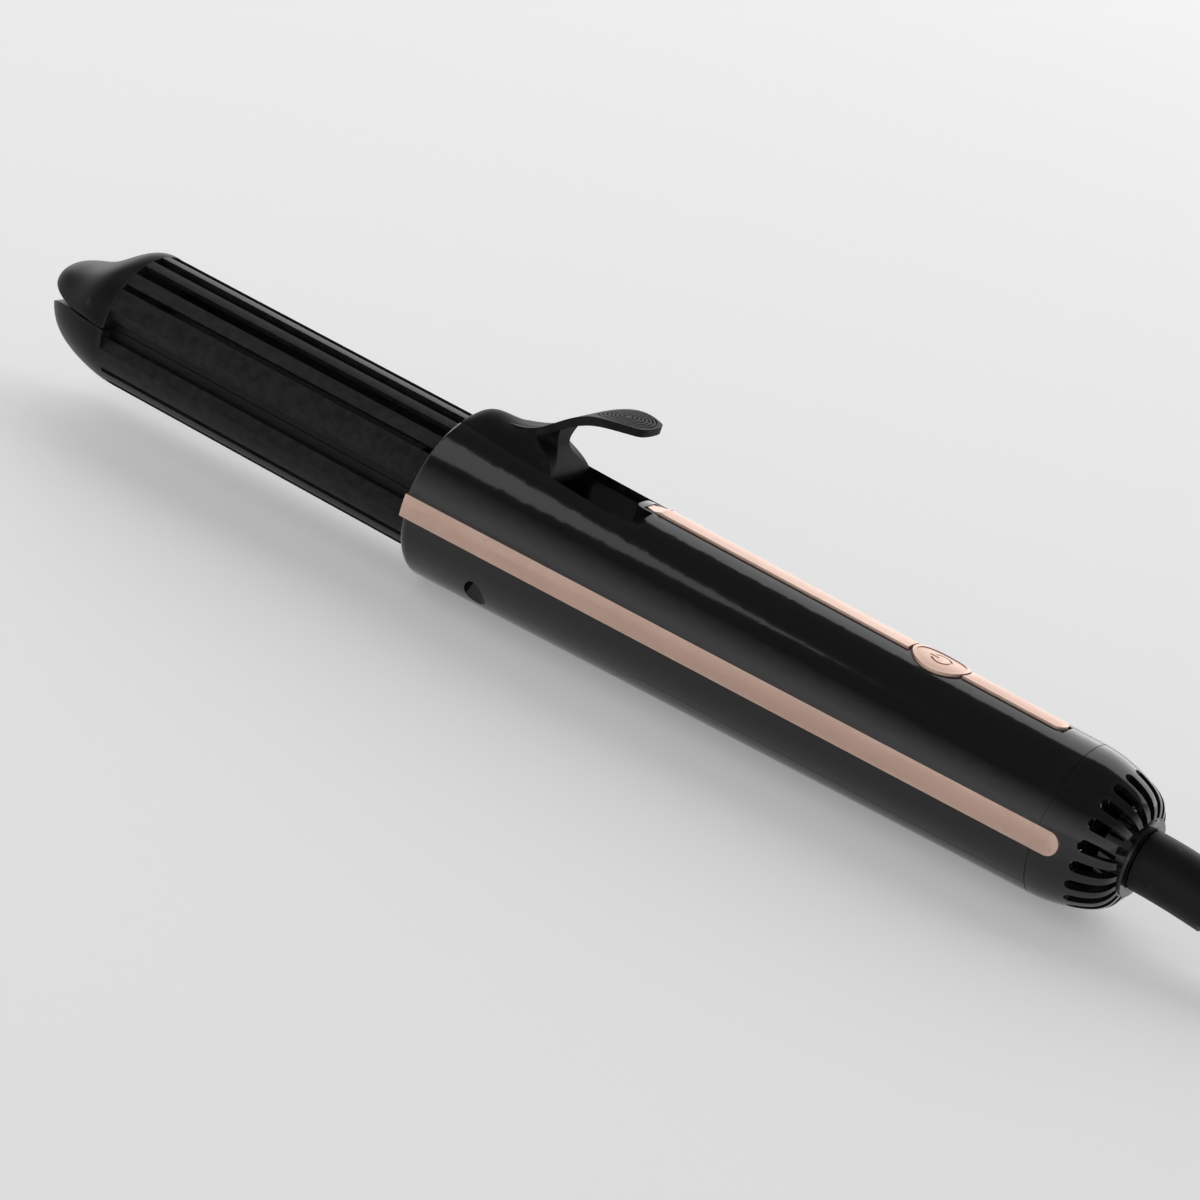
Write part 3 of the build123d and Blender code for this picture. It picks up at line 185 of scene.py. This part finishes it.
grainSet = {"size": 2500.0, "detail": 3.0, "swell": 0.3, "swellSize": 160.0, "swellDetail": 1.0}


def makeMouldGrain():
    # fine pitted skin of moulded plastic or rubber, with a slower swell under it
    group, given, result = newGroup(
        "mouldGrain", [("Size", "Float", grainSet["size"]), ("Swell", "Float", grainSet["swell"])],
        [("Height", "Float")])
    fine = noiseIn(group, given.outputs["Size"], grainSet["detail"])
    slow = noiseIn(group, grainSet["swellSize"], grainSet["swellDetail"])
    mix = group.nodes.new("ShaderNodeMix")
    group.links.new(given.outputs["Swell"], mix.inputs["Factor"])
    group.links.new(fine, mix.inputs[2])
    group.links.new(slow, mix.inputs[3])
    group.links.new(mix.outputs[0], result.inputs["Height"])
    return group


wearSet = {"colour": (0.1, 0.1, 0.1, 1), "edgeColour": (0.3, 0.3, 0.3, 1), "amount": 0.5, "sharpness": 0.56,
           "edgeFrom": 0.505, "patchSize": 420.0, "patchDetail": 4.0, "patchFrom": 0.3, "patchTo": 0.65,
           "leastPatch": 0.35}


def makeEdgeWear():
    # edges that hands and cloth polish get lighter, unevenly
    group, given, result = newGroup(
        "edgeWear",
        [("Colour", "Color", wearSet["colour"]), ("Edge Colour", "Color", wearSet["edgeColour"]),
         ("Amount", "Float", wearSet["amount"]), ("Sharpness", "Float", wearSet["sharpness"])],
        [("Colour", "Color"), ("Mask", "Float")])
    shape = group.nodes.new("ShaderNodeNewGeometry")
    edge = spreadOver(group, shape.outputs["Pointiness"], wearSet["edgeFrom"], given.outputs["Sharpness"],
                      0.0, 1.0)
    patches = noiseIn(group, wearSet["patchSize"], wearSet["patchDetail"])
    patch = spreadOver(group, patches, wearSet["patchFrom"], wearSet["patchTo"], wearSet["leastPatch"], 1.0)
    both = group.nodes.new("ShaderNodeMath")
    both.operation = "MULTIPLY"
    group.links.new(edge, both.inputs[0])
    group.links.new(patch, both.inputs[1])
    scaled = group.nodes.new("ShaderNodeMath")
    scaled.operation = "MULTIPLY"
    group.links.new(both.outputs[0], scaled.inputs[0])
    group.links.new(given.outputs["Amount"], scaled.inputs[1])
    mix = group.nodes.new("ShaderNodeMix")
    mix.data_type = "RGBA"
    group.links.new(scaled.outputs[0], mix.inputs["Factor"])
    group.links.new(given.outputs["Colour"], mix.inputs[6])
    group.links.new(given.outputs["Edge Colour"], mix.inputs[7])
    group.links.new(mix.outputs[2], result.inputs["Colour"])
    group.links.new(scaled.outputs[0], result.inputs["Mask"])
    return group


smearSet = {"rough": 0.3, "spread": 0.08, "size": 60.0, "detail": 3.0, "stretch": (1.0, 2.2, 2.2)}


def makeHandling():
    # faint smears along the piece: roughness and shade wander over the surface
    group, given, result = newGroup(
        "handling",
        [("Roughness", "Float", smearSet["rough"]), ("Spread", "Float", smearSet["spread"]),
         ("Size", "Float", smearSet["size"])],
        [("Roughness", "Float"), ("Shade", "Float")])
    smear = noiseIn(group, given.outputs["Size"], smearSet["detail"], smearSet["stretch"])
    half = group.nodes.new("ShaderNodeMath")
    half.operation = "SUBTRACT"
    half.inputs[1].default_value = 0.5
    group.links.new(smear, half.inputs[0])
    times = group.nodes.new("ShaderNodeMath")
    times.operation = "MULTIPLY_ADD"
    group.links.new(half.outputs[0], times.inputs[0])
    group.links.new(given.outputs["Spread"], times.inputs[1])
    group.links.new(given.outputs["Roughness"], times.inputs[2])
    group.links.new(times.outputs[0], result.inputs["Roughness"])
    group.links.new(smear, result.inputs["Shade"])
    return group


mouldGrain, edgeWear, handling = makeMouldGrain(), makeEdgeWear(), makeHandling()


# What a finish takes where its own dictionary doesn't say
plainLook = {"sharpness": 0.58, "smearSize": 60, "swell": 0.3, "mottle": 0.15, "depth": 0.00005, "metal": 0.0,
             "coat": 0.0, "coatRough": 0.05, "specular": 0.5, "shadeFrom": 0.3, "shadeTo": 0.7,
             "shadeColour": (0.6, 0.6, 0.6, 1)}


def makeFinish(name, given):
    # one moulded, painted or metal finish from its own dictionary
    look = {**plainLook, **given}
    material = bpy.data.materials.new(name)
    material.use_nodes = True
    tree = material.node_tree
    shader = tree.nodes["Principled BSDF"]

    def placed(group):
        node = tree.nodes.new("ShaderNodeGroup")
        node.node_tree = group
        return node

    wear, touched, grain = placed(edgeWear), placed(handling), placed(mouldGrain)
    wear.inputs["Colour"].default_value = (*look["colour"], 1)
    wear.inputs["Edge Colour"].default_value = (*look["edge"], 1)
    wear.inputs["Amount"].default_value = look["wear"]
    wear.inputs["Sharpness"].default_value = look["sharpness"]
    touched.inputs["Roughness"].default_value = look["rough"]
    touched.inputs["Spread"].default_value = look["smear"]
    touched.inputs["Size"].default_value = look["smearSize"]
    grain.inputs["Size"].default_value = look["grain"]
    grain.inputs["Swell"].default_value = look["swell"]
    shade = tree.nodes.new("ShaderNodeMix")
    shade.data_type = "RGBA"
    shade.blend_type = "MULTIPLY"
    tone = spreadOver(tree, touched.outputs["Shade"], look["shadeFrom"], look["shadeTo"], 0.0, look["mottle"])
    tree.links.new(tone, shade.inputs["Factor"])
    tree.links.new(wear.outputs["Colour"], shade.inputs[6])
    shade.inputs[7].default_value = look["shadeColour"]
    bump = tree.nodes.new("ShaderNodeBump")
    bump.inputs["Strength"].default_value = look["bump"]
    bump.inputs["Distance"].default_value = look["depth"]
    tree.links.new(grain.outputs["Height"], bump.inputs["Height"])
    tree.links.new(shade.outputs[2], shader.inputs["Base Color"])
    tree.links.new(touched.outputs["Roughness"], shader.inputs["Roughness"])
    tree.links.new(bump.outputs["Normal"], shader.inputs["Normal"])
    shader.inputs["Metallic"].default_value = look["metal"]
    shader.inputs["Coat Weight"].default_value = look["coat"]
    shader.inputs["Coat Roughness"].default_value = look["coatRough"]
    shader.inputs["Specular IOR Level"].default_value = look["specular"]
    return material


finishes = {
    "pianoBlack": {"colour": (0.004, 0.004, 0.0045), "edge": (0.03, 0.03, 0.032), "wear": 0.35, "rough": 0.11,
                   "smear": 0.04, "grain": 1400, "bump": 0.0, "coat": 0.2, "coatRough": 0.03, "mottle": 0.05},
    "pocketBlack": {"colour": (0.01, 0.01, 0.011), "edge": (0.05, 0.05, 0.05), "wear": 0.3, "rough": 0.16,
                    "smear": 0.08, "grain": 1500, "bump": 0.03},
    "satinCharcoal": {"colour": (0.005, 0.005, 0.0054), "edge": (0.05, 0.05, 0.052), "wear": 0.5,
                      "rough": 0.36, "smear": 0.03, "grain": 4200, "bump": 0.06, "depth": 0.00002,
                      "mottle": 0.03, "specular": 0.12},
    # black ceramic coating, taken darker still so that the plates' edges between the arms read as the shade
    # in that gap: partly the coating's own colour, partly painted shade
    "ceramicAndGapShade": {"colour": (0.004, 0.004, 0.0045), "edge": (0.03, 0.03, 0.031), "wear": 0.15,
                     "rough": 0.5, "smear": 0.1, "grain": 5200, "bump": 0.06, "specular": 0.2},
    "roseGold": {"colour": (0.66, 0.44, 0.355), "edge": (0.82, 0.62, 0.52), "wear": 0.6, "rough": 0.32,
                 "smear": 0.08, "grain": 7000, "bump": 0.06, "depth": 0.00002, "metal": 0.75},
    "softTouch": {"colour": (0.005, 0.005, 0.0054), "edge": (0.03, 0.03, 0.031), "wear": 0.5, "rough": 0.48,
                  "smear": 0.1, "grain": 5200, "bump": 0.12, "depth": 0.00003, "specular": 0.1},
    "darkRubber": {"colour": (0.007, 0.007, 0.0075), "edge": (0.04, 0.04, 0.042), "wear": 0.5, "rough": 0.5,
                   "smear": 0.12, "grain": 3800, "bump": 0.15, "specular": 0.22},
    "cordSheath": {"colour": (0.02, 0.02, 0.022), "edge": (0.05, 0.05, 0.05), "wear": 0.2, "rough": 0.42,
                   "smear": 0.12, "grain": 3000, "bump": 0.1, "swell": 0.5},
    "plugBlack": {"colour": (0.022, 0.022, 0.024), "edge": (0.09, 0.09, 0.09), "wear": 0.5, "rough": 0.5,
                  "smear": 0.1, "grain": 2600, "bump": 0.2},
    "nickel": {"colour": (0.72, 0.7, 0.66), "edge": (0.85, 0.84, 0.8), "wear": 0.5, "rough": 0.18,
               "smear": 0.1, "grain": 3000, "bump": 0.03, "metal": 1.0},
    "zincSteel": {"colour": (0.5, 0.5, 0.51), "edge": (0.75, 0.75, 0.75), "wear": 0.6, "rough": 0.34,
                  "smear": 0.15, "grain": 2600, "bump": 0.08, "metal": 1.0},
    # painted shade: near-black with little shine, so that the heaters seen through the arm slots read as the
    # slots' deep shade; the fuse and the filter wear it too
    "innerPaintedShade": {"colour": (0.002, 0.002, 0.0022), "edge": (0.01, 0.01, 0.0105), "wear": 0.3, "rough": 0.7,
                 "smear": 0.1, "grain": 2400, "bump": 0.12, "specular": 0.05},
    "innerGrey": {"colour": (0.1, 0.1, 0.105), "edge": (0.2, 0.2, 0.2), "wear": 0.4, "rough": 0.5,
                  "smear": 0.1, "grain": 2600, "bump": 0.12},
    "mountRubber": {"colour": (0.04, 0.04, 0.04), "edge": (0.1, 0.1, 0.1), "wear": 0.3, "rough": 0.7,
                    "smear": 0.1, "grain": 3000, "bump": 0.15},
    "boardGreen": {"colour": (0.02, 0.13, 0.05), "edge": (0.1, 0.35, 0.18), "wear": 0.5, "rough": 0.35,
                   "smear": 0.1, "grain": 1200, "bump": 0.1},
}
materials = {name: makeFinish(name, look) for name, look in finishes.items()}

# Which finish each carried-over piece has
wearsFinish = {
    "pianoBlack": ["upper_housing", "lower_housing", "lower_cover", "tail_cap", "cord_swivel"],
    "pocketBlack": ["pocket_liner"],
    "satinCharcoal": ["upper_arm_shell", "lower_arm_shell", "upper_arm_nose", "lower_arm_nose"],
    # plates: black coating darkened further as painted shade in the gap between the arms
    "ceramicAndGapShade": ["upper_plate", "lower_plate"],
    "roseGold": ["side_trim_left", "side_trim_right", "top_trim_front", "top_trim_rear", "power_button"],
    "softTouch": ["clamp_lever"],
    "darkRubber": ["strain_relief", "hank_tie"],
    "plugBlack": ["plug"],
    "nickel": ["plug_prong_left", "plug_prong_right"],
    "zincSteel": ["pivot_pin", "torsion_spring", "fan_motor", "motor_shaft", "lever_screw_left",
                  "lever_screw_right", "housing_screw_left", "housing_screw_right", "cover_screw_front",
                  "cover_screw_rear"],
    # the heaters' painted shade stands in for the dark inside the arm slots
    "innerPaintedShade": ["upper_heater", "lower_heater", "thermal_fuse", "inlet_filter"],
    "innerGrey": ["air_duct", "fan_wheel", "tact_switch", "switch_plunger", "swivel_retainer"],
    "mountRubber": ["fan_shroud"],
    "boardGreen": ["control_board"],
}
for finish, nodes in wearsFinish.items():
    for node in nodes:
        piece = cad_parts[node]
        piece.data.materials.clear()
        piece.data.materials.append(materials[finish])
mainsCord.data.materials.append(materials["cordSheath"])
print("finishes placed")


# Floor and light, after a white studio table. It is in metres, and the floor ends in front of the
# back light, whose far side would leave a dark strip on it.
floorSet = {"reach": 6.0, "backEdge": 2.4, "height": -0.0001, "colour": (0.88, 0.88, 0.883), "rough": 0.7,
            "glow": 0.25}
skySet = {"low": 0.12, "high": 0.62, "horizon": 0.95, "zenith": 0.12}
lamps = {
    "backLight": {"place": (-0.7, 2.6, 1.7), "power": 82, "size": (7.0, 3.3)},
    "keyLight": {"place": (-0.7, -0.35, 0.9), "power": 1.3, "size": (0.7, 0.6)},
}


def hangLamp(name, lampSet):
    # a soft rectangle of light, turned to the wand's middle
    data = bpy.data.lights.new(name, "AREA")
    data.shape = "RECTANGLE"
    data.size, data.size_y = lampSet["size"]
    data.energy = lampSet["power"]
    lamp = bpy.data.objects.new(name, data)
    bpy.context.scene.collection.objects.link(lamp)
    lamp.location = lampSet["place"]
    lamp.rotation_euler = (-Vector(lampSet["place"])).to_track_quat("-Z", "Y").to_euler()


def makeFloor():
    mesh = bpy.data.meshes.new("studioFloor")
    reach, backEdge = floorSet["reach"], floorSet["backEdge"]
    corners = [(-reach, -reach, 0), (reach, -reach, 0), (reach, backEdge, 0), (-reach, backEdge, 0)]
    mesh.from_pydata(corners, [], [(0, 1, 2, 3)])
    floor = bpy.data.objects.new("studioFloor", mesh)
    bpy.context.scene.collection.objects.link(floor)
    floor.location.z = floorSet["height"]
    material = bpy.data.materials.new("floorPaper")
    material.use_nodes = True
    tree = material.node_tree
    shader = tree.nodes["Principled BSDF"]
    shader.inputs["Base Color"].default_value = (*floorSet["colour"], 1)
    shader.inputs["Roughness"].default_value = floorSet["rough"]
    # a little lift where it is looked at, straight or in a reflection, so that pale paper stays pale
    ray = tree.nodes.new("ShaderNodeLightPath")
    seen = ray.outputs["Is Camera Ray"]
    for kind in ("Is Glossy Ray", "Is Transmission Ray"):
        add = tree.nodes.new("ShaderNodeMath")
        add.operation = "MAXIMUM"
        tree.links.new(seen, add.inputs[0])
        tree.links.new(ray.outputs[kind], add.inputs[1])
        seen = add.outputs[0]
    glow = spreadOver(tree, seen, 0.0, 1.0, 0.0, floorSet["glow"])
    shader.inputs["Emission Color"].default_value = white
    tree.links.new(glow, shader.inputs["Emission Strength"])
    mesh.materials.append(material)


def makeWorld():
    # bright low down, like walls and windows, and dim overhead
    world = bpy.data.worlds.new("studioWorld")
    world.use_nodes = True
    tree = world.node_tree
    place = tree.nodes.new("ShaderNodeTexCoord")
    split = tree.nodes.new("ShaderNodeSeparateXYZ")
    tree.links.new(place.outputs["Generated"], split.inputs[0])
    strength = spreadOver(tree, split.outputs["Z"], skySet["low"], skySet["high"], skySet["horizon"],
                          skySet["zenith"])
    back = tree.nodes["Background"]
    back.inputs["Color"].default_value = white
    tree.links.new(strength, back.inputs["Strength"])
    bpy.context.scene.world = world


makeFloor()
makeWorld()
for lampName, lampSet in lamps.items():
    hangLamp(lampName, lampSet)
bpy.context.scene.view_settings.view_transform = "Standard"
print("studio lit")
